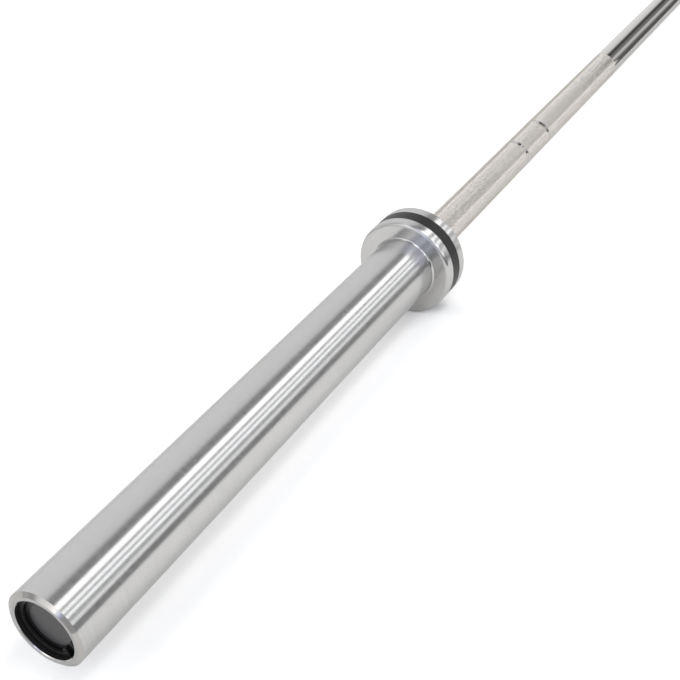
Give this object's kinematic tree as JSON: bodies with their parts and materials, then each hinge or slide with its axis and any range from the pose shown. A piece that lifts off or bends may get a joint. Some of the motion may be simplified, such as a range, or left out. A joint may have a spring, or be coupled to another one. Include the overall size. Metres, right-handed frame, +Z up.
{
  "type": "olympic barbell",
  "caption": "Long steel barbell with a knurled shaft, free-turning chromed sleeves for weight plates, thick stop collars with a black band, and recessed end caps.",
  "frame": {"origin": "middle of the bar, on its axis", "axes": "+X along the bar towards its right end, +Z up as it lies on a floor"},
  "size_m": [2.2, 0.0778, 0.0778],
  "materials": {
    "sleeve_chrome": "turned satin hard chrome",
    "grip_chrome": "knurled satin hard chrome, polished in the middle",
    "bearing_steel": "ground",
    "spring_steel": "black oxide",
    "bronze": "machined",
    "band_black": "satin black",
    "cap_black": "dark grey satin",
    "seal_rubber": "matt black"
  },
  "bodies": {
    "shaft": {"shaft": "grip_chrome", "shaft_ring_left": "spring_steel", "shaft_ring_right": "spring_steel", "thrust_washer_left": "bearing_steel", "thrust_washer_right": "bearing_steel"},
    "left_sleeve": {"collar_left": "sleeve_chrome", "collar_band_left": "band_black", "sleeve_left": "sleeve_chrome", "dust_seal_left": "seal_rubber", "inner_bush_left": "bronze", "inner_needle_cup_left": "bearing_steel", "bearing_spacer_left": "bearing_steel", "outer_needle_cup_left": "bearing_steel", "outer_bush_left": "bronze", "end_cap_left": "cap_black", "end_cap_ring_left": "spring_steel"},
    "right_sleeve": {"collar_right": "sleeve_chrome", "collar_band_right": "band_black", "sleeve_right": "sleeve_chrome", "dust_seal_right": "seal_rubber", "inner_bush_right": "bronze", "inner_needle_cup_right": "bearing_steel", "bearing_spacer_right": "bearing_steel", "outer_needle_cup_right": "bearing_steel", "outer_bush_right": "bronze", "end_cap_right": "cap_black", "end_cap_ring_right": "spring_steel"},
    "left_needle_cages": {"inner_needle_cage_left": "bearing_steel", "outer_needle_cage_left": "bearing_steel"},
    "right_needle_cages": {"inner_needle_cage_right": "bearing_steel", "outer_needle_cage_right": "bearing_steel"}
  },
  "joints": [
    {"name": "left_sleeve_spin", "type": "hinge", "parent": "shaft", "child": "left_sleeve", "pos_m": [-0.8775, 0, 0], "axis": [1, 0, 0], "continuous": true},
    {"name": "right_sleeve_spin", "type": "hinge", "parent": "shaft", "child": "right_sleeve", "pos_m": [0.8775, 0, 0], "axis": [1, 0, 0], "continuous": true},
    {"name": "left_cage_spin", "type": "hinge", "parent": "shaft", "child": "left_needle_cages", "pos_m": [-0.8775, 0, 0], "axis": [1, 0, 0], "continuous": true},
    {"name": "right_cage_spin", "type": "hinge", "parent": "shaft", "child": "right_needle_cages", "pos_m": [0.8775, 0, 0], "axis": [1, 0, 0], "continuous": true}
  ],
  "couplings": [
    {"joint": "left_cage_spin", "follows": "left_sleeve_spin", "ratio": 0.544},
    {"joint": "right_cage_spin", "follows": "right_sleeve_spin", "ratio": 0.544}
  ]
}
